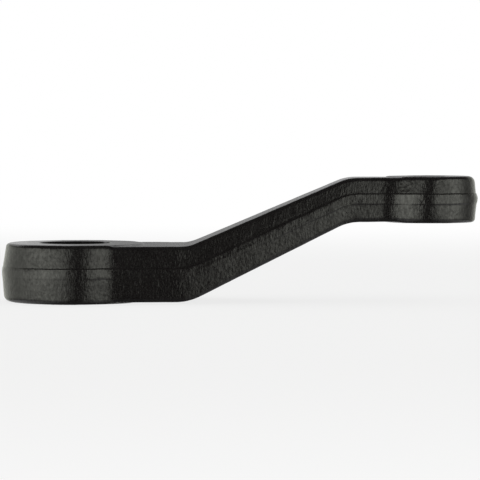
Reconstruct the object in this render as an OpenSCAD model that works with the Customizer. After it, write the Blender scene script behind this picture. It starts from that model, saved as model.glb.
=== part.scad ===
// Drop steering arm: one closed-die forging with a serrated, tapered shaft boss
// at one end and a tapered ball-stud boss at the other. Sizes in millimetres.
// The shaft axis is Z, the lower face of the shaft boss is z = 0 and the arm
// runs along +X.

/* [Layout] */
// Distance between the shaft axis and the stud axis
reach = 152.4; // [140:0.1:175]
// Height of the stud boss's middle above the shaft boss's middle
drop = 31.4; // [20:0.1:40]
// Level stretch of arm between the shaft axis and the lower bend
shaft_level = 49.2; // [46:0.1:54]
// Level stretch of arm between the upper bend and the stud axis
stud_level = 35; // [32:0.1:40]

/* [Shaft boss] */
// Diameter of the shaft boss at the parting line
shaft_boss_d = 62.6; // [60:0.1:66]
// Height of the shaft boss between its machined faces
shaft_boss_h = 24.9; // [22:0.1:28]
// Height that each face of the shaft boss stands above the arm
shaft_face_step = 0.65; // [0.3:0.05:1.2]

/* [Serrated bore] */
// Diameter over the serration roots at the mouth where the shaft enters
bore_root_d = 32; // [30:0.1:33]
// Depth of a serration
serration_depth = 1.1; // [0.7:0.05:1.4]
// Serrations round the bore, counting the blind ones
serrations = 32; // [24:4:40]
// Blind serrations, which fix the arm's angle on the shaft
blind_serrations = 4; // [1, 2, 4]
// Taper of the bore: loss of diameter for each millimetre of depth
bore_taper = 0.0625; // [0.04:0.0005:0.08]
// Width of the chamfer beyond the roots at each mouth of the bore
bore_chamfer = 0.35; // [0.2:0.05:1]

/* [Stud boss] */
// Diameter of the stud boss at the parting line
stud_boss_d = 41.4; // [38:0.1:46]
// Height of the stud boss between its machined faces
stud_boss_h = 19.7; // [18:0.1:23]
// Height that each face of the stud boss stands above the arm
stud_face_step = 0.5; // [0.2:0.05:1]
// Diameter of the stud hole at its wide mouth
stud_hole_d = 17.5; // [15:0.1:20]
// Taper of the stud hole: loss of diameter for each millimetre of depth
stud_taper = 0.125; // [0.08:0.001:0.17]
// Width of the chamfer at each mouth of the stud hole
stud_chamfer = 0.6; // [0.3:0.05:1.2]

/* [Arm] */
// Width of the arm at the shaft axis, with its sides carried on into the boss
root_w = 56.9; // [52:0.1:58]
// Width of the arm at the lower bend
bend_w = 49.7; // [48:0.1:52]
// Width of the arm at the stud axis, with its sides carried on into the boss
neck_w = 27.1; // [22:0.1:29]
// Fillet between each boss and the sides of the arm
boss_fillet = 20; // [12:0.5:24]
// Radius that eases each side at the lower bend
side_ease = 120; // [60:5:200]

/* [Bends] */
// Radius of the top face at the lower bend
top_lower_r = 15; // [8:0.5:24]
// Radius of the underside at the lower bend
under_lower_r = 23; // [12:0.5:30]
// Radius of the top face at the upper bend
top_upper_r = 20; // [10:0.5:28]
// Radius of the underside at the upper bend
under_upper_r = 22; // [10:0.5:28]

/* [Forging] */
// Draft angle of the upper die
draft_upper = 8; // [5:0.5:9]
// Draft angle of the lower die
draft_lower = 4.5; // [3:0.5:9]
// Radius of the upper edges
edge_upper = 1.8; // [1:0.1:2.6]
// Radius of the lower edges
edge_lower = 2.1; // [1:0.1:2.6]
// Height of the parting line above mid thickness
parting_lift = 0.5; // [0:0.1:1.2]
// Height of the trimmed flash band
flash_h = 4.3; // [3:0.1:6]
// How far the flash band stands out of the parting line
flash_proud = 0.35; // [0.2:0.05:0.7]
// Height of the sloping shoulders of the flash band
flash_shoulder = 0.3; // [0.2:0.05:0.6]

/* [Hidden] */
$fn = 96;

// A fillet's arc runs this far into its boss, so that the two surfaces cross
fillet_bite = 0.15;
// The shaft boss stands out at least this far past the sides of the arm
boss_show = 0.6;
// A cutter reaches this far past the face that it opens
past = 1;
// A chamfer's cutter reaches this far into its hole
mouth_depth = 3;
// The arm's loft ends this share of a boss's radius short of its axis
buried_end = 0.2;
// Half the width of a serration's land, as a share of the pitch
half_land = 0.125;
// Steps round an edge, a bend and a fillet, and along plain stretches of arm
edge_steps = 6;
bend_steps = 10;
fillet_steps = 10;
slope_steps = 4;
neck_steps = 2;

shaft_r = shaft_boss_d / 2;
stud_r = stud_boss_d / 2;
stud_low = shaft_boss_h / 2 + drop - stud_boss_h / 2;
stud_high = stud_low + stud_boss_h;
// Radii of the two tapered holes at their narrow mouths
bore_top_r = (bore_root_d - bore_taper * shaft_boss_h) / 2;
stud_low_r = (stud_hole_d - stud_taper * stud_boss_h) / 2;

// Levels of the arm's top face and underside at its two ends
top_start = shaft_boss_h - shaft_face_step;
top_end = stud_high - stud_face_step;
under_start = shaft_face_step;
under_end = stud_low + stud_face_step;
lower_bend = shaft_level;
upper_bend = reach - stud_level;

// Sides of the arm in plan: two straight lines, each kept as its unit outward
// normal [nx, ny] and its distance from the shaft axis
function normal_of(p, q) = [p.y - q.y, q.x - p.x] / norm(q - p);
root_point = [0, min(root_w / 2, shaft_r - boss_show)];
bend_point = [lower_bend, bend_w / 2];
neck_point = [reach, neck_w / 2];
near_normal = normal_of(root_point, bend_point);
far_normal = normal_of(bend_point, neck_point);
near_offset = near_normal * bend_point;
far_offset = far_normal * bend_point;

// Centre of the fillet that touches a side line and bites into a boss: way is
// 1 for a fillet beyond the boss's centre along X and -1 for one before it. On an
// arm as wide as its boss the fillet shrinks to nothing
function fillet_centre(boss, r, normal, offset, way) =
    let(out = offset - normal * boss + boss_fillet)
    let(along = sqrt(max(0, pow(r + boss_fillet - fillet_bite, 2) - out * out)))
    boss + normal * out + way * along * [normal.y, -normal.x];

shaft_centre = [0, 0];
stud_centre = [reach, 0];
shaft_fillet = fillet_centre(shaft_centre, shaft_r, near_normal, near_offset, 1);
stud_fillet = fillet_centre(stud_centre, stud_r, far_normal, far_offset, -1);

// Arc that eases the corner between the two side lines: ease_side is 1 where the
// corner bulges outwards and the arc's centre lies inside the arm, otherwise -1
corner_turn = atan2(far_normal.x, far_normal.y) - atan2(near_normal.x, near_normal.y);
ease_side = corner_turn < 0 ? -1 : 1;
middle_normal = (near_normal + far_normal) / norm(near_normal + far_normal);
ease_centre = bend_point - ease_side * middle_normal * side_ease / cos(corner_turn / 2);

// Where a fillet circle comes nearest to its boss's centre
function bite_x(fillet, boss, inset) =
    fillet.x + (boss.x - fillet.x) * (boss_fillet + inset) / norm(boss - fillet);

// Half width of the arm at x, on the outline drawn in by an inset
function half_width(x, inset) =
    let(r = boss_fillet + inset, ease_r = side_ease - ease_side * inset)
    let(x_held = max(bite_x(shaft_fillet, shaft_centre, inset),
                     min(bite_x(stud_fillet, stud_centre, inset), x)))
    x_held < shaft_fillet.x - near_normal.x * r
        ? shaft_fillet.y - sqrt(r * r - pow(x_held - shaft_fillet.x, 2))
    : x_held > stud_fillet.x - far_normal.x * r
        ? stud_fillet.y - sqrt(r * r - pow(x_held - stud_fillet.x, 2))
    : x_held < ease_centre.x + ease_side * near_normal.x * ease_r
        ? (near_offset - inset - near_normal.x * x_held) / near_normal.y
    : x_held > ease_centre.x + ease_side * far_normal.x * ease_r
        ? (far_offset - inset - far_normal.x * x_held) / far_normal.y
    : ease_centre.y + ease_side * sqrt(ease_r * ease_r - pow(x_held - ease_centre.x, 2));

// Height of a face that runs level, climbs between the bends and runs level
// again, with an arc at each bend
function face_height(x, start, end, lower_r, upper_r) =
    let(climb = atan2(end - start, upper_bend - lower_bend))
    let(lower_t = lower_r * tan(climb / 2), upper_t = upper_r * tan(climb / 2))
    x < lower_bend - lower_t ? start
    : x < lower_bend + lower_t * cos(climb)
        ? start + lower_r - sqrt(pow(lower_r, 2) - pow(x - lower_bend + lower_t, 2))
    : x < upper_bend - upper_t * cos(climb)
        ? start + (x - lower_bend) * tan(climb)
    : x < upper_bend + upper_t
        ? end - upper_r + sqrt(pow(upper_r, 2) - pow(upper_bend + upper_t - x, 2))
    : end;

function top_height(x) = face_height(x, top_start, top_end, top_lower_r, top_upper_r);
function under_height(x) =
    face_height(x, under_start, under_end, under_lower_r, under_upper_r);

// Rounded edge between a level face and a drafted wall, as [inset, z] points
// from the face to the wall. way is -1 for the lower edge and 1 for the upper
function edge_arc(face, parting, draft, r, way) =
    let(wall = abs(face - parting) - r + r * sin(draft))
    let(centre = wall * tan(draft) + r * cos(draft))
    [for (i = [0 : edge_steps])
        let(a = 90 - i * (90 - draft) / edge_steps)
        [centre - r * cos(a), face - way * r + way * r * sin(a)]];

// A level put on a fine grid, so that the arm and its bosses share it exactly
function on_grid(z) = round(z * 4096) / 4096;

// Wall of the forging from its lower face to its upper face as [inset, z]
// points: lower edge, flash band on the parting line, upper edge
function wall_profile(low, high) =
    let(parting = (low + high) / 2 + parting_lift, half = flash_h / 2)
    concat(
        edge_arc(low, parting, draft_lower, edge_lower, -1),
        [[half * tan(draft_lower), on_grid(parting - half)],
         [-flash_proud, on_grid(parting - half + flash_shoulder)],
         [-flash_proud, on_grid(parting + half - flash_shoulder)],
         [half * tan(draft_upper), on_grid(parting + half)]],
        [for (i = [edge_steps : -1 : 0])
            edge_arc(high, parting, draft_upper, edge_upper, 1)[i]]);

// Section of the arm at x: one wall upwards, then its mirror image downwards
function arm_section(x) =
    let(wall = wall_profile(under_height(x), top_height(x)), n = len(wall))
    concat([for (p = wall) [x, -half_width(x, p[0]), p[1]]],
           [for (i = [n - 1 : -1 : 0]) [x, half_width(x, wall[i][0]), wall[i][1]]]);

// Evenly spaced values from a up to, but not including, b
function steps(a, b, n) = [for (i = [0 : n - 1]) a + (b - a) * i / n];

// The widest arcs at each bend give the stretches that need close sections
climb_most = atan2(max(top_end - top_start, under_end - under_start), upper_bend - lower_bend);
lower_half = max(max(top_lower_r, under_lower_r) * tan(climb_most / 2),
                 side_ease * tan(abs(corner_turn) / 2));
upper_half = max(top_upper_r, under_upper_r) * tan(climb_most / 2);
arm_from = buried_end * shaft_r;
arm_to = reach - buried_end * stud_r;
fillet_from = bite_x(shaft_fillet, shaft_centre, 0);
fillet_to = bite_x(stud_fillet, stud_centre, 0);
neck_end = stud_fillet.x - boss_fillet * far_normal.x;
stations = concat(
    [arm_from],
    steps(fillet_from, shaft_fillet.x, fillet_steps),
    steps(shaft_fillet.x, lower_bend - lower_half, slope_steps),
    steps(lower_bend - lower_half, lower_bend + lower_half, bend_steps),
    steps(lower_bend + lower_half, upper_bend - upper_half, slope_steps),
    steps(upper_bend - upper_half, upper_bend + upper_half, bend_steps),
    steps(upper_bend + upper_half, neck_end, neck_steps),
    steps(neck_end, fillet_to, fillet_steps),
    [fillet_to, arm_to]);

// Solid through a list of closed sections that all have as many points, each
// section with its second half the mirror image of its first
module loft(sections) {
    n = len(sections[0]);
    last = len(sections) - 1;
    points = [for (s = sections) each s];
    half = n / 2;
    walls = [for (k = [0 : last - 1], i = [0 : n - 1])
        let(j = (i + 1) % n, a = k * n, b = a + n)
        each [[a + i, b + j, b + i], [a + i, a + j, b + j]]];
    ends = [for (i = [0 : half - 2])
        let(m = n - 1 - i, a = last * n)
        each [[i, m, i + 1], [m, m - 1, i + 1],
              [a + i, a + i + 1, a + m], [a + m, a + i + 1, a + m - 1]]];
    polyhedron(points, concat(walls, ends));
}

// Boss turned from the same wall profile as the arm
module boss(r, low, high) {
    wall = wall_profile(low, high);
    rotate_extrude()
        polygon(concat([[0, low]], [for (p = wall) [r - p[0], p[1]]], [[0, high]]));
}

// Outline of the serrations: a land on each tooth and in each root, with the
// teeth left out at the blind serrations
module serration_outline(root_r) {
    pitch = 360 / serrations;
    land = half_land * pitch;
    blind_pitch = serrations / blind_serrations;
    tip_r = root_r - serration_depth;
    polygon([for (i = [0 : serrations - 1])
        let(tooth = i * pitch, root = tooth + pitch / 2)
        each concat(
            i % blind_pitch == 0 ? []
                : [for (a = [tooth - land, tooth + land]) tip_r * [cos(a), sin(a)]],
            [for (a = [root - land, root + land]) root_r * [cos(a), sin(a)]])]);
}

// Cutter for the serrated bore, wide at the lower mouth, where the shaft enters
module serrated_bore() {
    low_r = (bore_root_d + bore_taper * past) / 2;
    depth = shaft_boss_h + 2 * past;
    high_r = low_r - bore_taper * depth / 2;
    translate([0, 0, -past])
        linear_extrude(height = depth, scale = high_r / low_r)
            serration_outline(low_r);
    mouth(bore_root_d / 2 + bore_chamfer, 0, -1);
    mouth(bore_top_r + bore_chamfer, shaft_boss_h, 1);
}

// Cutter for a 45 degree chamfer at one mouth of a hole: edge_r is its radius on
// the face, and way is 1 for a face that looks up and -1 for one that looks down
module mouth(edge_r, face, way) {
    low = way > 0 ? mouth_depth : past;
    high = way > 0 ? past : mouth_depth;
    translate([0, 0, face - low])
        cylinder(h = low + high, r1 = edge_r - way * low, r2 = edge_r + way * high);
}

// Cutter for the stud hole, wide at the upper mouth, where the stud enters
module stud_hole() {
    high_r = (stud_hole_d + stud_taper * past) / 2;
    depth = stud_boss_h + 2 * past;
    translate([reach, 0, 0]) {
        translate([0, 0, stud_low - past])
            cylinder(h = depth, r1 = high_r - stud_taper * depth / 2, r2 = high_r);
        mouth(stud_hole_d / 2 + stud_chamfer, stud_high, 1);
        mouth(stud_low_r + stud_chamfer, stud_low, -1);
    }
}

module pitman_arm() {
    color([0.07, 0.07, 0.07])
        difference() {
            union() {
                boss(shaft_r, 0, shaft_boss_h);
                translate([reach, 0, 0]) boss(stud_r, stud_low, stud_high);
                loft([for (x = stations) arm_section(x)]);
            }
            serrated_bore();
            stud_hole();
        }
}

pitman_arm();
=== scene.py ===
import math

import bmesh
import bpy
import numpy as np
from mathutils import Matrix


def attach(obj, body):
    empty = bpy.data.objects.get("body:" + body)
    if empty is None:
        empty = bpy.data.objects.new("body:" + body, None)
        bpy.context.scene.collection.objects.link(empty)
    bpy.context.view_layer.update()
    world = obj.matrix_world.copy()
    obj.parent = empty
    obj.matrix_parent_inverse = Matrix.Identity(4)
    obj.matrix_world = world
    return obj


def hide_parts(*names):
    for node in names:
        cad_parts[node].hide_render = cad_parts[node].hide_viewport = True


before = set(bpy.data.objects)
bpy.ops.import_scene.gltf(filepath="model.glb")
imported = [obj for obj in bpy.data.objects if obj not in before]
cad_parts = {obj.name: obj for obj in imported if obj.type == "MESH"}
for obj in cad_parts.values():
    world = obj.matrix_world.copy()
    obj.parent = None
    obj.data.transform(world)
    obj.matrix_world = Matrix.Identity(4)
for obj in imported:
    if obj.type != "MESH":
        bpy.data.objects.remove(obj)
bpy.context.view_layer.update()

# Sizes of the forging in millimetres. They are the part's own, but for the sides' corner
# BEND, which lies 5 mm nearer the shaft here, and PARTING_LIFT, which is 0.1 mm less
REACH, DROP = 152.4, 31.4
LOWER_BEND, UPPER_BEND = 49.2, 117.4
# Radii of the lower and the upper bend on the top and on the underside
TOP_RADII, UNDER_RADII = (15.0, 20.0), (23.0, 22.0)
SHAFT_AT, STUD_AT = np.array([0.0, 0.0]), np.array([REACH, 0.0])
SHAFT_R, SHAFT_H, SHAFT_STEP = 31.3, 24.9, 0.65
STUD_R, STUD_H, STUD_STEP = 20.7, 19.7, 0.5
BORE_LOW_R, BORE_TAPER, BORE_CHAMFER = 16.0, 0.0625, 0.35
SERRATIONS, BLIND_EVERY, SERRATION_DEPTH = 32, 8, 1.1
STUD_HOLE_R, STUD_TAPER, STUD_CHAMFER = 8.75, 0.125, 0.6
ROOT, NECK = np.array([0.0, 28.45]), np.array([REACH, 13.55])
BEND = np.array([44.2, 25.2])
FILLET_R, EASE_R = 20.0, 120.0
EDGE_UPPER, EDGE_LOWER = 1.8, 2.1
PARTING_LIFT, FLASH_HALF = 0.4, 2.15

STUD_HIGH = SHAFT_H / 2 + DROP + STUD_H / 2
# The lower die stood a little low: how far its faces lie under the part's own, and how
# much further out its lower bend is
SHAFT_SAG, ROOT_SAG, NECK_SAG, STUD_SAG, BEND_LATE = 0.2, 0.1, 0.2, 0.15, 0.25
SHAFT_LOW, STUD_LOW = -SHAFT_SAG, STUD_HIGH - STUD_H - STUD_SAG
# Centre, radius, lower face and upper face of each boss
BOSSES = ((SHAFT_AT, SHAFT_R, SHAFT_LOW, SHAFT_H), (STUD_AT, STUD_R, STUD_LOW, STUD_HIGH))
# Millimetres to metres, and the small fillet where a boss's face stands out of the arm
MM, STEP_FILLET = 0.001, 0.3
# Radii up to which a boss's face is surely level, and at which its machined face ends
SHAFT_LEVEL_R, STUD_LEVEL_R = 27.2, 16.6
SHAFT_FACE_R, STUD_FACE_R, FACE_RAMP = 27.2, 16.8, 0.8
# X from which the upper die takes the stud boss's own shape, and over what length
STUD_DIE_X, STUD_DIE_RUN = 118, 14
# X from which the flash band's lower shoulder turns sharp, and over what length
SHARP_X, SHARP_RUN = 76, 22
# Width of the flash band's shoulders, and how much narrower the upper one is on the level
# ends: it narrows from two to three times CLIMB_RUN from the middle of the climb
SHOULDER, SHOULDER_LESS, CLIMB_X, CLIMB_RUN = 0.75, 0.33, 80, 15
# Rows of the wall: over and under the band's edge in millimetres, then shares of the band
SHOULDER_ROWS = np.array([0.38, 0.25, 0.15, 0.05, -0.05, -0.15, -0.25, -0.42])
BAND_ROWS = np.array([0.5, 0.3, 0.1])
EDGE_ROWS, WALL_ROWS = 9, 8
# Rows of a boss's cap on its level face and beyond it, the first step beyond it in
# millimetres, and rows of a hole's chamfer and of its wall
SHAFT_ROWS, STUD_ROWS, FIRST_STEP = (9, 22), (7, 16), 0.2
CHAMFER_ROWS, HOLE_ROWS = 3, 10
# Size, length and seed of each set of waves in the forged skin
SKIN_WAVES = ((0.02, 15, 1), (0.009, 5.5, 2), (0.005, 2.4, 3))

# Counts of the surface grids: rays round the shaft boss for each serration are the ten
# shares of a pitch below, so that a ray runs along every corner of a serration
PITCH_SHARES = np.array([0, 0.125, 5 / 24, 7 / 24, 0.375, 0.5, 0.625, 17 / 24, 19 / 24, 0.875])
CUT_STEPS, STUD_ARC_STEPS, STUD_NECK_STEPS, ARM_STEPS = 28, 68, 20, 138
SHAFT_CUT_X, STUD_CUT_X = 38.0, 128.4

# X of the arm's middle, heights of the floor, of the panel under it and of the cards over
# the arm, the Y where the cards leave the back open, and how far all of them reach, in metres
MIDDLE_X, FLOOR_Z, UNDER_Z, OVER_Z, OPEN_Y, FAR = 0.071, -3.5e-4, -3.2, 2.5, 2.3, 8
# Tone of the dark cards
DARK = 0.01
# Radius of the tent in metres, the azimuths to which its wall runs, and its points round
TENT_R, TENT_END, TENT_POINTS = 5, 166, 84
# Light of the tent's wall at azimuths in degrees from the camera's side, white being 1
TENT_LIGHT = [(-160, 0.84), (-140, 0.8), (-105, 0.8), (-85, 1.4), (-55, 2.4), (-35, 2.2),
              (-10, 1.1), (5, 1.2), (25, 1.7), (42, 1.5), (65, 2.6), (80, 1.4), (92, 0.7),
              (102, 0.35), (112, 0.3), (125, 0.4), (140, 0.7), (160, 0.82)]
TENT_TINT = (0.49, 0.5, 0.45)
# Light of the panels behind and under the arm at places along X in metres
BACK_LIGHT = [(-0.6, 0.62), (-0.45, 0.56), (-0.3, 0.3), (-0.15, 0.29), (0.05, 0.4),
              (0.2, 0.52), (0.35, 0.52), (0.5, 0.35), (0.7, 0.4)]
UNDER_LIGHT = [(-4, 0.65), (-2, 0.6), (-0.8, 0.08), (0.8, 0.08), (2, 0.42), (4, 0.7)]
# Height over and under the arm at which the tent's light has died away, in metres
TENT_HEIGHT = 2.3
# The camera's place in metres, its lens, and how far it looks down: the photo's horizon is
# 105 pixels over its middle, and its focal length is 2570 pixels
CAMERA_AT, LENS, SENSOR = (0.0712, -1.1102, 0.0714), 192.9, 36
LOOK_DOWN = math.atan(105 / 2570)


def unit(v):
    """A vector divided by its own length."""
    return v / np.linalg.norm(v)


def angle_of(v):
    """Angle of a plan vector from the X axis."""
    return math.atan2(v[1], v[0])


def side_normal(p, q):
    """Outward normal of the arm's side through plan points p and q: the side's direction
    turned a quarter turn to the left, at unit length."""
    return unit(np.array([p[1] - q[1], q[0] - p[0]]))


def fillet_centre(boss, radius, normal, offset, way):
    """Centre of the fillet between a boss and a side: the fillet's radius outside the side,
    and the sum of both radii from the boss's centre, on the side that way points to."""
    out = offset - normal @ boss + FILLET_R
    along = math.sqrt((radius + FILLET_R) ** 2 - out**2)
    return boss + normal * out + way * along * np.array([normal[1], -normal[0]])


def arc(centre, radius, start, end, bulge, count=700):
    """Points and outward normals of a plan arc between two angles: centre plus radius times
    the ray at each angle. bulge is 1 where the centre lies in the forging, otherwise -1."""
    a = np.linspace(start, end, count)
    ray = np.stack([np.cos(a), np.sin(a)], 1)
    return centre + radius * ray, bulge * ray


def half_outline():
    """Parting outline of one side from the stud end to the shaft end: boss, fillet, side,
    eased corner, side, fillet, boss. The straight sides are the gaps between the arcs."""
    near, far = side_normal(ROOT, BEND), side_normal(BEND, NECK)
    stud_f = fillet_centre(STUD_AT, STUD_R, far, far @ BEND, -1)
    shaft_f = fillet_centre(SHAFT_AT, SHAFT_R, near, near @ BEND, 1)
    middle = unit(near + far)
    ease = BEND - middle * EASE_R / (middle @ near)
    arcs = [arc(STUD_AT, STUD_R, 0, angle_of(stud_f - STUD_AT), 1),
            arc(stud_f, FILLET_R, angle_of(STUD_AT - stud_f), angle_of(-far), -1),
            arc(ease, EASE_R, angle_of(far), angle_of(near), 1),
            arc(shaft_f, FILLET_R, angle_of(-near), angle_of(SHAFT_AT - shaft_f), -1),
            arc(SHAFT_AT, SHAFT_R, angle_of(shaft_f - SHAFT_AT), math.pi, 1)]
    points = np.concatenate([p for p, n in arcs])
    normals = np.concatenate([n for p, n in arcs])
    run = np.concatenate([[0], np.cumsum(np.linalg.norm(np.diff(points, axis=0), axis=1))])
    marks = [len(arcs[0][0]) - 1, len(points) - len(arcs[-1][0])]
    return points, normals, run, run[marks], angle_of(shaft_f - SHAFT_AT)


def serration_angles():
    """Angles of the rays round the shaft axis: every share of a pitch, for every pitch."""
    pitch = 2 * math.pi / SERRATIONS
    return (np.arange(SERRATIONS)[:, None] + PITCH_SHARES).ravel() * pitch


def outline_columns():
    """Columns of the wall round the whole outline, with points, outward normals and run:
    the half outline read at chosen runs, then its mirror image back to the start. The runs
    are even in each stretch, and follow the serrations' rays round the shaft boss."""
    points, normals, run, (stud_end, shaft_start), first_angle = half_outline()
    rays = serration_angles()[: SERRATIONS * len(PITCH_SHARES) // 2 + 1]
    rays = rays[rays > first_angle + 0.01]
    on_boss = shaft_start + SHAFT_R * (rays - first_angle)
    stud_cut, shaft_cut = np.interp([-STUD_CUT_X, -SHAFT_CUT_X], -points[:, 0], run)
    root_steps = SERRATIONS * len(PITCH_SHARES) // 2 + 1 - len(rays) - CUT_STEPS
    stretches = [np.linspace(0, stud_end, STUD_ARC_STEPS + 1)[:-1],
                 np.linspace(stud_end, stud_cut, STUD_NECK_STEPS + 1)[:-1],
                 np.linspace(stud_cut, shaft_cut, ARM_STEPS + 1)[:-1],
                 np.linspace(shaft_cut, on_boss[0], root_steps + 1)[:-1], on_boss]
    at = np.concatenate(stretches)
    ends = np.cumsum([len(s) for s in stretches])
    half = [np.stack([np.interp(at, run, v[:, k]) for k in (0, 1)], 1) for v in (points, normals)]
    mirror = np.array([1, -1])
    xy = np.concatenate([half[0], half[0][-2:0:-1] * mirror])
    normal = np.concatenate([half[1], half[1][-2:0:-1] * mirror])
    normal /= np.linalg.norm(normal, axis=1)[:, None]
    full = np.concatenate([at, 2 * run[-1] - at[-2:0:-1]])
    return {"xy": xy, "normal": normal, "run": full / (2 * run[-1]),
            "stud_cut": ends[1], "shaft_cut": ends[2]}


def arm_face(x, start, end, lower_at, lower_r, upper_r):
    """Height of one face of the arm at x: level, an arc at the lower bend at lower_at, a
    straight climb, an arc at the upper bend, level. Each arc touches both its neighbours."""
    climb = math.atan2(end - start, UPPER_BEND - lower_at)
    lower_t, upper_t = lower_r * math.tan(climb / 2), upper_r * math.tan(climb / 2)
    into = np.clip(x - lower_at + lower_t, 0, lower_r)
    left = np.clip(UPPER_BEND + upper_t - x, 0, upper_r)
    lower_arc = start + lower_r - np.sqrt(lower_r**2 - into**2)
    upper_arc = end - upper_r + np.sqrt(upper_r**2 - left**2)
    slope = start + (x - lower_at) * math.tan(climb)
    return np.where(x < lower_at + lower_t * math.cos(climb), lower_arc,
                    np.where(x < UPPER_BEND - upper_t * math.cos(climb), slope, upper_arc))


def top_height(x):
    """Height of the arm's top face at x."""
    return arm_face(x, SHAFT_H - SHAFT_STEP, STUD_HIGH - STUD_STEP, LOWER_BEND, *TOP_RADII)


def under_height(x):
    """Height of the arm's underside at x, with the lower die's sag."""
    end = STUD_HIGH - STUD_H + STUD_STEP - NECK_SAG
    return arm_face(x, SHAFT_STEP - ROOT_SAG, end, LOWER_BEND + BEND_LATE, *UNDER_RADII)


def parting_height(x):
    """Height of the parting line at x: a little above the middle of the arm's two faces."""
    return (top_height(x) + under_height(x)) / 2 + PARTING_LIFT


def edge_inset(height, draft, edge, wider):
    """How far inside the parting outline a rounded edge meets its face: the draft of the
    wall up to the edge, plus the edge's own radius seen across the draft, less what the die
    is wider than the outline."""
    wall = height - edge + edge * np.sin(draft)
    return wall * np.tan(draft) + edge * np.cos(draft) - wider


def die_side(way, lean, x):
    """Draft, edge radius and extra width of the upper die (way 1) or the lower die (way -1)
    at x. All change a little with lean, the X part of the wall's normal: the dies sat
    slightly askew, the upper one leans back more on the stud boss's inner side, the lower
    edge is rounder on walls that face the shaft's way, and the stud end's upper edge is worn
    rounder."""
    out, back = np.clip(lean, 0, 1), np.clip(-lean, 0, 1)
    if way < 0:
        edge = EDGE_LOWER - 0.4 * out**2 + 0.8 * back**2
        return np.radians(5 + 0.3 * lean), edge, 0.2 + 0.15 * lean**2
    at_stud = smooth((x - STUD_DIE_X) / STUD_DIE_RUN)
    draft = 7 - 2 * lean + 9 * at_stud * np.minimum(back, 0.4)
    edge = EDGE_UPPER + at_stud * (1.6 * out**6 - np.minimum(out, 0.5))
    return np.radians(draft), edge, 0.2 * back**2


def boss_rise(x, y, way):
    """Height of the arm over a plan point, and how far the higher of the two bosses' faces
    stands out of it: level inside the face's edge, then falling round the edge's radius, and
    far below the arm beyond it."""
    arm = top_height(x) if way > 0 else under_height(x)
    rises, far_below = [], -9.0
    for at, radius, low, high in BOSSES:
        face = high if way > 0 else low
        away = np.hypot(x - at[0], y - at[1])
        draft, edge, wider = die_side(way, (x - at[0]) / np.maximum(away, 1e-6), at[0])
        height = abs(face - parting_height(at[0]))
        past = away - radius + edge_inset(height, draft, edge, wider)
        fall = edge - np.sqrt(np.maximum(edge**2 - np.clip(past, 0, edge) ** 2, 0))
        rises.append(np.where(past > edge, far_below, way * (face - arm) - fall))
    return arm, np.maximum(*rises)


def face_height(x, y, way):
    """Height of the top (way 1) or the underside (way -1) over a plan point: the arm's face
    or a boss's face, whichever stands further out, with a small fillet between the two."""
    arm, rise = boss_rise(x, y, way)
    share = np.clip(0.5 + 0.5 * rise / STEP_FILLET, 0, 1)
    return arm + way * (rise * share + STEP_FILLET * share * (1 - share))


def edge_line(columns, way):
    """Points where the rounded edge of each column meets the face. The inset depends on the
    face's height and the height on the inset, so each is put into the other until both hold."""
    draft, edge, wider = die_side(way, columns["normal"][:, 0], columns["xy"][:, 0])
    parting = parting_height(columns["xy"][:, 0])
    inset = np.full(len(parting), 3.0)
    for _ in range(12):
        x, y = (columns["xy"] - inset[:, None] * columns["normal"]).T
        z = face_height(x, y, way)
        inset = edge_inset(np.abs(z - parting), draft, edge, wider)
    return np.stack([x, y, z], 1)


def ragged(run, waves, seed):
    """A closed random line of unit spread along the outline: sines with whole numbers of
    waves per turn, seeded phases, and amplitudes that fall with the number of waves."""
    rng = np.random.default_rng(seed)
    numbers = np.arange(waves[0], waves[1])
    size = numbers**-0.5
    phase = rng.uniform(0, 2 * math.pi, len(numbers))
    line = np.sin(2 * math.pi * run[:, None] * numbers + phase) @ size
    return line / math.sqrt((size**2).sum() / 2)


def smooth(t):
    """Smooth ramp from 0 to 1 as t goes from 0 to 1."""
    t = np.clip(t, 0, 1)
    return t * t * (3 - 2 * t)


def shoulder_share(rise, half, worn, width):
    """How far the wall has stepped out to the flash band at a height over the parting line:
    a step of the given width at the band's edge, spread over the band where it is worn."""
    return smooth(0.5 + (half - rise) / width) * (1 - worn) + smooth(1.1 - rise / half) * worn


def flash_band(columns, way):
    """Half height, outward step and wear of the trimmed flash band along the outline. The
    band stands further out at the stud end, where the trimming tool sat off centre. Its
    lower shoulder is worn up to the middle of the climb, its upper one at the shaft end, and
    both at the tip of the stud end."""
    x, lean, run = columns["xy"][:, 0], columns["normal"][:, 0], columns["run"]
    half = FLASH_HALF + 0.035 * ragged(run, (9, 160), 4 + way)
    proud = 0.13 + 0.19 * lean + 0.32 * lean**2 + 0.025 * ragged(run, (5, 90), 8 + way)
    shaft_end = smooth(-1.5 * lean) * (x < LOWER_BEND)
    worn = 0.93 * shaft_end if way > 0 else 0.75 - 0.7 * smooth((x - SHARP_X) / SHARP_RUN)
    worn = np.maximum(worn, 0.7 * smooth(lean / 0.4 - 1.4))
    return half, proud, worn


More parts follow.
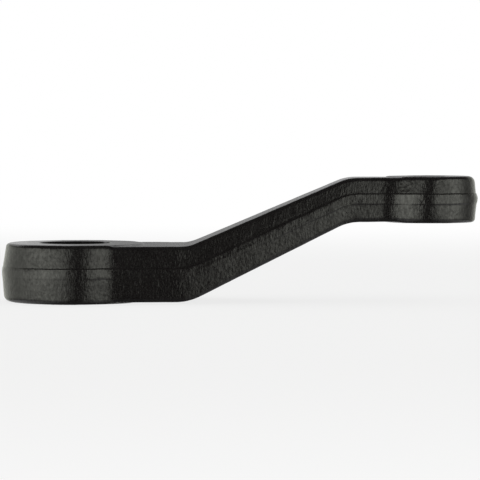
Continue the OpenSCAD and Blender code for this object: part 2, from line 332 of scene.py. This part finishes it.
def die_wall(columns, way):
    """Insets and heights of one die's wall, from the face to the middle of the flash band:
    rounded edge, drafted wall, shoulder, trimmed band."""
    draft, edge, wider = die_side(way, columns["normal"][:, 0], columns["xy"][:, 0])
    parting = parting_height(columns["xy"][:, 0])
    height = np.abs(edge_line(columns, way)[:, 2] - parting)
    turn = math.pi / 2 + (draft - math.pi / 2) * np.linspace(0, 1, EDGE_ROWS)[:, None]
    rounded = edge_inset(height, draft, edge, wider) - edge * np.cos(turn)
    rounded_rise = height - edge + edge * np.sin(turn)
    half, proud, worn = flash_band(columns, way)
    band_rise = np.concatenate([half + SHOULDER_ROWS[:, None], half * BAND_ROWS[:, None]])
    level = smooth(np.abs(columns["xy"][:, 0] - CLIMB_X) / CLIMB_RUN - 2) if way > 0 else 0
    share = shoulder_share(band_rise, half, worn, SHOULDER - SHOULDER_LESS * level)
    band = (band_rise * np.tan(draft) - wider) * (1 - share) - proud * share
    down = np.linspace(0, 1, WALL_ROWS + 2)[1:-1, None]
    wall_rise = rounded_rise[-1] + (band_rise[0] - rounded_rise[-1]) * down
    wall = rounded[-1] + (band[0] - rounded[-1]) * down
    inset = np.concatenate([rounded, wall, band])
    rise = np.concatenate([rounded_rise, wall_rise, band_rise])
    return inset, parting + way * rise


def wall_grid(columns):
    """The forging's wall: each column of the outline carried down the wall's profile, every
    point pushed in from the outline along its normal by the profile's inset."""
    upper, lower = die_wall(columns, 1), die_wall(columns, -1)
    inset = np.concatenate([upper[0], lower[0][::-1]])
    z = np.concatenate([upper[1], lower[1][::-1]])
    xy = columns["xy"] - inset[:, :, None] * columns["normal"]
    return np.concatenate([xy, z[:, :, None]], 2)


def first_step_growth(length, count, step):
    """Growth rates for which count exponential steps cover each length and start with the
    given step, found by halving; lengths that short even steps cover keep even steps."""
    low, high = np.full(length.shape, 1e-6), np.full(length.shape, 12.0)
    for _ in range(50):
        rate = (low + high) / 2
        longer = length * np.expm1(rate / count) / np.expm1(rate) > step
        low, high = np.where(longer, rate, low), np.where(longer, high, rate)
    return rate


def boss_cap(rim, edge, centre, level_r, way, flat_rows, rows):
    """Face of a boss and of the arm beside it: rays from the hole's rim straight out to
    level_r, then on to the edge with steps that start fine at the boss's step."""
    ring = centre + level_r * (rim - centre) / np.linalg.norm(rim - centre, axis=1)[:, None]
    out = np.linspace(0, 1, flat_rows + 1)[:-1, None, None]
    flat = rim + (ring - rim) * out
    length = np.linalg.norm(edge - ring, axis=1)
    rate = first_step_growth(length, rows, FIRST_STEP)
    share = np.expm1(rate * np.linspace(0, 1, rows + 1)[:, None]) / np.expm1(rate)
    xy = np.concatenate([flat, ring + (edge - ring) * share[:, :, None]])
    z = face_height(xy[..., 0], xy[..., 1], way)
    return np.concatenate([xy, z[..., None]], 2)


def cut_line(corner):
    """Points of a cap's border across the arm, from the corner on +Y to just short of the
    corner on -Y, evenly spaced."""
    share = np.linspace(1, -1, 2 * CUT_STEPS + 1)[1:-1]
    return np.stack([np.full(len(share), corner[0]), corner[1] * share], 1)


def shaft_cap(columns, edge, rim_r, way):
    """Cap round the shaft axis: its border is the edge from cut to cut and the cut line."""
    start, count = columns["shaft_cut"], len(edge)
    on_edge = edge[start : count - start + 1, :2]
    across = cut_line(edge[start])[::-1]
    border = np.concatenate([across[CUT_STEPS - 1 :], on_edge, across[: CUT_STEPS - 1]])
    a = serration_angles()
    rim = rim_r * np.stack([np.cos(a), np.sin(a)], 1)
    return boss_cap(rim, border, SHAFT_AT, SHAFT_LEVEL_R, way, *SHAFT_ROWS)


def stud_border(columns, edge):
    """Border of the cap round the stud axis: the edge from cut to cut by way of the stud
    end, then the cut line."""
    cut, count = columns["stud_cut"], len(edge)
    on_edge = np.concatenate([edge[count - cut :], edge[: cut + 1]])[:, :2]
    return np.concatenate([on_edge, cut_line(edge[cut])])


def stud_cap(border, rays_to, rim_r, way):
    """Cap round the stud axis, each ray starting on the rim towards the same upper point."""
    out = rays_to - STUD_AT
    rim = STUD_AT + rim_r * out / np.linalg.norm(out, axis=1)[:, None]
    return boss_cap(rim, border, STUD_AT, STUD_LEVEL_R, way, *STUD_ROWS)


def arm_strip(columns, edge, way):
    """Face of the arm between the two caps: straight across from edge to edge."""
    side = edge[columns["stud_cut"] : columns["shaft_cut"] + 1]
    across = np.linspace(1, -1, 2 * CUT_STEPS + 1)[:, None]
    x, y = np.broadcast_to(side[:, 0], (len(across), len(side))), across * side[:, 1]
    return np.stack([x, y, face_height(x, y, way)], 2)


def hole_grid(rays, share, centre, low, high, low_r, high_r, chamfer):
    """Tapered hole: on each ray the cone's radius times the ray's share of it, from the end
    of the upper chamfer to the end of the lower one, with a 45 degree chamfer at each mouth."""
    slope = (high_r - low_r) / (high - low)
    from_top = (high_r + chamfer - share * high_r) / (1 - share * slope)
    from_low = (low_r + chamfer - share * low_r) / (1 + share * slope)
    down = np.linspace(0, 1, CHAMFER_ROWS + 1)[:-1, None]
    along = np.linspace(0, 1, HOLE_ROWS + 1)[:, None]
    top_z, top_r = high - from_top * down, high_r + chamfer - from_top * down
    wall_z = high - from_top + (low + from_low - high + from_top) * along
    wall_r = share * (low_r + slope * (wall_z - low))
    low_z, low_mouth = low + (from_low * down)[::-1], low_r + chamfer - (from_low * down)[::-1]
    z, r = np.concatenate([top_z, wall_z, low_z]), np.concatenate([top_r, wall_r, low_mouth])
    return np.stack([centre[0] + r * rays[:, 0], centre[1] + r * rays[:, 1], z], 2)


def serrated_bore():
    """Serrated bore: each ray's share of the root radius falls from 1 in a root to the tip's
    on a tooth, along straight flanks; every eighth tooth is left out."""
    a = serration_angles()
    place = np.arange(len(a)) // len(PITCH_SHARES) + np.tile(PITCH_SHARES, SERRATIONS)
    off_tooth = np.abs(place - np.round(place))
    blind = np.round(place) % BLIND_EVERY == 0
    tooth = np.where(blind, 0, np.clip((0.375 - off_tooth) / 0.25, 0, 1))
    rays = np.stack([np.cos(a), np.sin(a)], 1)
    high_r = BORE_LOW_R - BORE_TAPER * SHAFT_H / 2
    share = 1 - tooth * SERRATION_DEPTH / BORE_LOW_R
    return hole_grid(rays, share, SHAFT_AT, SHAFT_LOW, SHAFT_H,
                     BORE_LOW_R, high_r, BORE_CHAMFER)


def stud_hole(border):
    """Tapered stud hole with its rays under the stud cap's."""
    rays = (border - STUD_AT) / np.linalg.norm(border - STUD_AT, axis=1)[:, None]
    low_r = STUD_HOLE_R - STUD_TAPER * STUD_H / 2
    return hole_grid(rays, np.ones(len(rays)), STUD_AT, STUD_LOW, STUD_HIGH,
                     low_r, STUD_HOLE_R, STUD_CHAMFER)


def grid_quads(rows, columns, closed, first):
    """Quads of a grid of points numbered row by row from first; a closed grid joins its last
    column to its first."""
    number = first + np.arange(rows * columns).reshape(rows, columns)
    if closed:
        number = np.concatenate([number, number[:, :1]], 1)
    corners = [number[:-1, :-1], number[1:, :-1], number[1:, 1:], number[:-1, 1:]]
    return np.stack(corners, 2).reshape(-1, 4)


def forging_grids():
    """All grids of the forging, each with True where its columns close on themselves."""
    columns = outline_columns()
    grids = [(wall_grid(columns), True), (serrated_bore(), True)]
    bore_rim = {1: BORE_LOW_R - BORE_TAPER * SHAFT_H / 2 + BORE_CHAMFER,
                -1: BORE_LOW_R + BORE_CHAMFER}
    stud_rim = {1: STUD_HOLE_R + STUD_CHAMFER,
                -1: STUD_HOLE_R - STUD_TAPER * STUD_H / 2 + STUD_CHAMFER}
    border = stud_border(columns, edge_line(columns, 1))
    grids.append((stud_hole(border), True))
    for way in (1, -1):
        edge = edge_line(columns, way)
        grids.append((shaft_cap(columns, edge, bore_rim[way], way), True))
        grids.append((stud_cap(stud_border(columns, edge), border, stud_rim[way], way), True))
        grids.append((arm_strip(columns, edge, way), False))
    return grids


def joined_mesh(name, grids):
    """One closed mesh from grids that share their borders: doubles merged, faces outwards."""
    counts = np.cumsum([0] + [g.shape[0] * g.shape[1] for g, closed in grids])
    points = np.concatenate([g.reshape(-1, 3) for g, closed in grids]) * MM
    quads = [grid_quads(g.shape[0], g.shape[1], closed, first)
             for (g, closed), first in zip(grids, counts)]
    mesh = bpy.data.meshes.new(name)
    mesh.from_pydata(points, [], np.concatenate(quads))
    shell = bmesh.new()
    shell.from_mesh(mesh)
    bmesh.ops.remove_doubles(shell, verts=shell.verts, dist=2e-7)
    bmesh.ops.recalc_face_normals(shell, faces=shell.faces)
    shell.to_mesh(mesh)
    shell.free()
    return mesh


def read_vectors(items, field):
    """A mesh's vectors of one kind as rows of three numbers."""
    values = np.empty(len(items) * 3)
    items.foreach_get(field, values)
    return values.reshape(-1, 3)


def skin_waves(points, length, seed, count=40):
    """A smooth random field of unit spread: the sum of plane waves of about one length, with
    seeded directions and phases."""
    rng = np.random.default_rng(seed)
    ways = rng.normal(size=(count, 3))
    lengths = length * rng.uniform(0.75, 1.35, count)
    ways *= (2 * math.pi / lengths / np.linalg.norm(ways, axis=1))[:, None]
    phase = rng.uniform(0, 2 * math.pi, count)
    return np.sin(points @ ways.T + phase).sum(1) * math.sqrt(2 / count)


def forged_share(points):
    """1 on the forged skin and 0 on the machined faces and in the holes, with a short ramp
    at the rim of each boss's face. Points are in millimetres."""
    from_shaft = np.hypot(points[:, 0], points[:, 1]) - SHAFT_FACE_R
    from_stud = np.hypot(points[:, 0] - REACH, points[:, 1]) - STUD_FACE_R
    return np.clip(np.minimum(from_shaft, from_stud) / FACE_RAMP, 0, 1)


def hole_share(points):
    """1 in the two tapered holes and 0 outside their mouths, with a ramp across the chamfer.
    Points are in millimetres."""
    z = points[:, 2]
    bore = BORE_LOW_R - BORE_TAPER / 2 * z + BORE_CHAMFER - np.hypot(points[:, 0], points[:, 1])
    stud = STUD_HOLE_R - STUD_TAPER / 2 * (STUD_HIGH - z) + STUD_CHAMFER
    stud -= np.hypot(points[:, 0] - REACH, points[:, 1])
    return np.clip(np.maximum(bore / BORE_CHAMFER, stud / STUD_CHAMFER), 0, 1)


def lay_skin(mesh):
    """Moves the forged skin along its normals by three lengths of random waves, and keeps
    the shares of forged skin and of the holes as attributes for the paint."""
    points = read_vectors(mesh.vertices, "co") / MM
    normals = read_vectors(mesh.vertices, "normal")
    forged = forged_share(points)
    wave = sum(size * skin_waves(points, length, seed) for size, length, seed in SKIN_WAVES)
    points += normals * (wave * forged)[:, None]
    mesh.vertices.foreach_set("co", (points * MM).ravel())
    mesh.attributes.new("forged", "FLOAT", "POINT").data.foreach_set("value", forged)
    mesh.attributes.new("hole", "FLOAT", "POINT").data.foreach_set("value", hole_share(points))


def forged_arm(paint):
    """The pitman arm: all grids joined, skinned, shaded smooth with sharp corners."""
    mesh = joined_mesh("forged_arm", forging_grids())
    lay_skin(mesh)
    mesh.polygons.foreach_set("use_smooth", np.ones(len(mesh.polygons), bool))
    mesh.set_sharp_from_angle(angle=math.radians(38))
    mesh.materials.append(paint)
    mesh.update()
    arm = bpy.data.objects.new("forged_arm", mesh)
    bpy.context.scene.collection.objects.link(arm)
    return arm


class Nodes:
    """A node tree that adds a node with its settings and input values in one call."""

    def __init__(self, tree):
        tree.nodes.clear()
        self.tree = tree

    def add(self, kind, values=None, **settings):
        node = self.tree.nodes.new(kind)
        for key, value in settings.items():
            setattr(node, key, value)
        for key, value in (values or {}).items():
            if isinstance(value, bpy.types.NodeSocket):
                self.tree.links.new(value, node.inputs[key])
            else:
                node.inputs[key].default_value = value
        return node

    def math(self, operation, a, b):
        return self.add("ShaderNodeMath", {0: a, 1: b}, operation=operation).outputs[0]


def new_material(name):
    """A material with an empty node tree."""
    material = bpy.data.materials.new(name)
    material.use_nodes = True
    return material, Nodes(material.node_tree)


def skin_height(n, place):
    """Height of the blasted skin for the bump: upright creases about a millimetre apart and
    shallow round pits, a fifth as high where the forging was machined."""
    upright = n.add("ShaderNodeMapping", {"Vector": place, "Scale": (1, 1, 0.42)})
    creases = n.add("ShaderNodeTexNoise", {
        "Vector": upright.outputs[0], "Scale": 1500, "Detail": 3, "Roughness": 0.6,
        "Distortion": 0.4})
    pits = n.add("ShaderNodeTexVoronoi", {"Vector": place, "Scale": 620, "Smoothness": 0.6},
                 feature="SMOOTH_F1")
    depth = n.math("MULTIPLY", pits.outputs["Distance"], 0.5)
    relief = n.math("ADD", creases.outputs["Fac"], depth)
    forged = n.add("ShaderNodeAttribute", attribute_name="forged").outputs["Fac"]
    return n.math("MULTIPLY", relief, n.math("MULTIPLY", n.math("ADD", forged, 0.25), 0.8))


def black_paint():
    """Black paint over a forged skin: patchy near-black colour and gloss, a fine upright
    grain in its shine, which is dull in the holes, and a fine bump."""
    material, n = new_material("black_paint")
    place = n.add("ShaderNodeTexCoord").outputs["Object"]
    patches = n.add("ShaderNodeTexNoise", {
        "Vector": place, "Scale": 160, "Detail": 4, "Roughness": 0.6})
    tone = n.add("ShaderNodeValToRGB", {"Fac": patches.outputs["Fac"]})
    tone.color_ramp.elements[0].position, tone.color_ramp.elements[1].position = 0.3, 0.7
    tone.color_ramp.elements[0].color = (0.0113, 0.0099, 0.0105, 1)
    tone.color_ramp.elements[1].color = (0.0163, 0.0147, 0.0153, 1)
    gloss = n.add("ShaderNodeMapRange", {
        "Value": patches.outputs["Fac"], 1: 0.3, 2: 0.7, 3: 0.08, 4: 0.14})
    upright = n.add("ShaderNodeMapping", {"Vector": place, "Scale": (1, 1, 0.5)})
    grain = n.add("ShaderNodeTexNoise", {
        "Vector": upright.outputs[0], "Scale": 900, "Detail": 4, "Roughness": 0.65})
    shine = n.add("ShaderNodeMapRange", {
        "Value": grain.outputs["Fac"], 1: 0.3, 2: 0.7, 3: 0.3, 4: 0.7})
    hole = n.add("ShaderNodeAttribute", attribute_name="hole").outputs["Fac"]
    dull = n.math("SUBTRACT", 1.0, n.math("MULTIPLY", hole, 0.9))
    bump = n.add("ShaderNodeBump", {
        "Height": skin_height(n, place), "Strength": 0.5, "Distance": 0.0002})
    shader = n.add("ShaderNodeBsdfPrincipled", {
        "Base Color": tone.outputs["Color"], "Roughness": gloss.outputs[0],
        "Normal": bump.outputs[0],
        "Specular IOR Level": n.math("MULTIPLY", shine.outputs[0], dull)})
    n.add("ShaderNodeOutputMaterial", {"Surface": shader.outputs[0]})
    return material


def plain_material(name, colour):
    """A plain matt material."""
    material, n = new_material(name)
    shader = n.add("ShaderNodeBsdfDiffuse", {"Color": (*colour, 1)})
    n.add("ShaderNodeOutputMaterial", {"Surface": shader.outputs[0]})
    return material


def stage_sheet(name, corners, material):
    """A flat four-cornered sheet of the studio, which isn't part of the object."""
    mesh = bpy.data.meshes.new(name)
    mesh.from_pydata(corners, [], [(0, 1, 2, 3)])
    mesh.materials.append(material)
    sheet = bpy.data.objects.new(name, mesh)
    bpy.context.scene.collection.objects.link(sheet)
    return sheet


def dark_card(name, corners, tone=DARK):
    """A matt card out of the camera's sight, nearly black unless it gets another tone: it
    keeps a part of the studio dim."""
    card = stage_sheet(name, corners, plain_material(name, (tone, tone, tone)))
    card.visible_camera = False
    return card


def light_ramp(n, place, stops, tint):
    """Light by place: a colour ramp through the stops, each a place and its light, tinted."""
    first, last = stops[0][0], stops[-1][0]
    share = n.add("ShaderNodeMapRange", {"Value": place, 1: first, 2: last})
    ramp = n.add("ShaderNodeValToRGB", {"Fac": share.outputs[0]})
    marks = ramp.color_ramp.elements
    while len(marks) < len(stops):
        marks.new(0.5)
    for mark, (at, light) in zip(marks, stops):
        mark.position = (at - first) / (last - first)
        mark.color = (*(light * t for t in tint), 1)
    return ramp.outputs["Color"]


def dim_panel(name, corners, stops):
    """A softly lit panel out of the camera's sight, dimmer than the white room, with its
    light set by stops along X. It shows in the paint's gloss only."""
    material, n = new_material(name)
    place = n.add("ShaderNodeTexCoord").outputs["Object"]
    x = n.add("ShaderNodeSeparateXYZ", {0: place}).outputs[0]
    shader = n.add("ShaderNodeEmission", {"Color": light_ramp(n, x, stops, (1, 1, 1))})
    n.add("ShaderNodeOutputMaterial", {"Surface": shader.outputs[0]})
    panel = stage_sheet(name, corners, material)
    panel.visible_camera = panel.visible_diffuse = False


def tent_light():
    """Light of the tent's wall: by azimuth round the arm, brightest at both sides, times one
    less the square of its height's share of the tent's."""
    material, n = new_material("tent_light")
    place = n.add("ShaderNodeTexCoord").outputs["Object"]
    x, y, z = n.add("ShaderNodeSeparateXYZ", {0: place}).outputs
    azimuth = n.math("ARCTAN2", n.math("SUBTRACT", x, MIDDLE_X), n.math("MULTIPLY", y, -1.0))
    colour = light_ramp(n, n.math("DEGREES", azimuth, 0.0), TENT_LIGHT, TENT_TINT)
    level = n.math("DIVIDE", z, TENT_HEIGHT)
    fall = n.math("SUBTRACT", 1.0, n.math("MULTIPLY", level, level))
    strength = n.math("MULTIPLY", fall, 2.0)
    shader = n.add("ShaderNodeEmission", {"Color": colour, "Strength": strength})
    n.add("ShaderNodeOutputMaterial", {"Surface": shader.outputs[0]})
    return material


def tent():
    """The light tent's wall: an upright cylinder round the arm with a gap at the back, out of
    the camera's sight."""
    a = np.radians(np.linspace(-TENT_END, TENT_END, TENT_POINTS))
    ring = np.stack([MIDDLE_X + TENT_R * np.sin(a), -TENT_R * np.cos(a)], 1)
    rows = [np.column_stack([ring, np.full(len(a), z)]) for z in (-TENT_HEIGHT, TENT_HEIGHT)]
    mesh = bpy.data.meshes.new("tent")
    mesh.from_pydata(np.concatenate(rows), [], grid_quads(2, len(a), False, 0))
    mesh.materials.append(tent_light())
    wall = bpy.data.objects.new("tent", mesh)
    wall.visible_camera = False
    bpy.context.scene.collection.objects.link(wall)


def area_light(name, place, turn, size, radiance, colour):
    """A rectangular light: its power is its radiance times its area times pi."""
    light = bpy.data.lights.new(name, "AREA")
    light.shape, light.color = "RECTANGLE", colour
    light.size, light.size_y = size
    light.energy = radiance * math.pi * size[0] * size[1]
    lamp = bpy.data.objects.new(name, light)
    lamp.location, lamp.rotation_euler = place, turn
    lamp.visible_camera = False
    bpy.context.scene.collection.objects.link(lamp)
    return lamp


def level_sheet(half, z):
    """Corners of a level square about the arm's middle."""
    return [(MIDDLE_X + half * u, half * v, z) for u, v in ((-1, -1), (1, -1), (1, 1), (-1, 1))]


def white_share(n):
    """1 for the rays that see the background: camera, glossy and transmitted rays."""
    path = n.add("ShaderNodeLightPath").outputs
    mirrored = n.math("MAXIMUM", path["Is Glossy Ray"], path["Is Transmission Ray"])
    return n.math("MAXIMUM", path["Is Camera Ray"], mirrored)


def floor_material():
    """Pale matt floor that takes the arm's shadow and fades to plain white further out."""
    material, n = new_material("floor")
    place = n.add("ShaderNodeTexCoord").outputs["Object"]
    away = n.add("ShaderNodeVectorMath", {0: place}, operation="LENGTH").outputs["Value"]
    fade = n.add("ShaderNodeMapRange", {"Value": away, 1: 0.3, 2: 1.0, 3: 0.8, 4: 1.0},
                 interpolation_type="SMOOTHSTEP").outputs[0]
    matt = n.add("ShaderNodeBsdfDiffuse", {"Color": (0.9, 0.9, 0.9, 1)}).outputs[0]
    white = n.add("ShaderNodeEmission", {"Strength": white_share(n)}).outputs[0]
    mix = n.add("ShaderNodeMixShader", {0: fade, 1: matt, 2: white}).outputs[0]
    n.add("ShaderNodeOutputMaterial", {"Surface": mix})
    return material


def level_card(name, x, y, tone=DARK):
    """A level card over the arm between two values of X and two of Y."""
    corners = [(x[0], y[0]), (x[1], y[0]), (x[1], y[1]), (x[0], y[1])]
    dark_card(name, [(*corner, OVER_Z) for corner in corners], tone)


def upright_sheet(low, high, y, z):
    """Corners of an upright sheet, with its X from and to at the lower and the upper end."""
    return [(low[0], y, z[0]), (low[1], y, z[0]), (high[1], y, z[1]), (high[0], y, z[1])]


def studio():
    """Pale floor, light tent, a ceiling light that the paint doesn't mirror, a dark card over
    the arm with a paler one at the back right, dim panels behind and under the arm, and a
    dark card before it, which shows as the dark stripes on the bosses."""
    floor = stage_sheet("floor", level_sheet(FAR, FLOOR_Z), floor_material())
    floor.visible_glossy = floor.visible_shadow = False
    tent()
    ceiling = area_light("ceiling", (MIDDLE_X, 0, 1.6), (0, 0, 0), (3.2, 3.2), 0.6, (1, 1, 1))
    ceiling.visible_glossy = False
    level_card("card_over", (-FAR, FAR), (-FAR, OPEN_Y))
    level_card("card_right", (1.2, FAR), (OPEN_Y, FAR), 0.6)
    dim_panel("panel_under", level_sheet(FAR, UNDER_Z), UNDER_LIGHT)
    behind = upright_sheet((-1.2, 1.35), (-1.2, 1.35), TENT_R, (-0.1, 2.4))
    dim_panel("panel_back", behind, BACK_LIGHT)
    before = upright_sheet((-0.055, 0.24), (-0.085, 0.27), -0.6, (-0.4, 0.5))
    slit = dark_card("card_slit", before)
    slit.visible_diffuse = slit.visible_shadow = False


def white_world():
    """White all round for the rays that see the background, softer as light."""
    world = bpy.data.worlds.new("white_room")
    bpy.context.scene.world = world
    world.use_nodes = True
    n = Nodes(world.node_tree)
    strength = n.add("ShaderNodeMapRange", {
        "Value": white_share(n), 1: 0, 2: 1, 3: 0.5, 4: 1}).outputs[0]
    light = n.add("ShaderNodeBackground", {"Color": (1, 1, 1, 1), "Strength": strength})
    n.add("ShaderNodeOutputWorld", {"Surface": light.outputs[0]})


def camera():
    """The photograph's view: just above the arm from its side, through a long lens."""
    data = bpy.data.cameras.new("camera")
    data.sensor_width, data.lens = SENSOR, LENS
    eye = bpy.data.objects.new("camera", data)
    eye.location = CAMERA_AT
    eye.rotation_euler = (math.pi / 2 - LOOK_DOWN, 0, 0)
    bpy.context.scene.collection.objects.link(eye)
    bpy.context.scene.camera = eye


arm = forged_arm(black_paint())
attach(arm, "root")
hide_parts("pitman_arm")
studio()
white_world()
camera()
bpy.context.scene.view_settings.view_transform = "Standard"
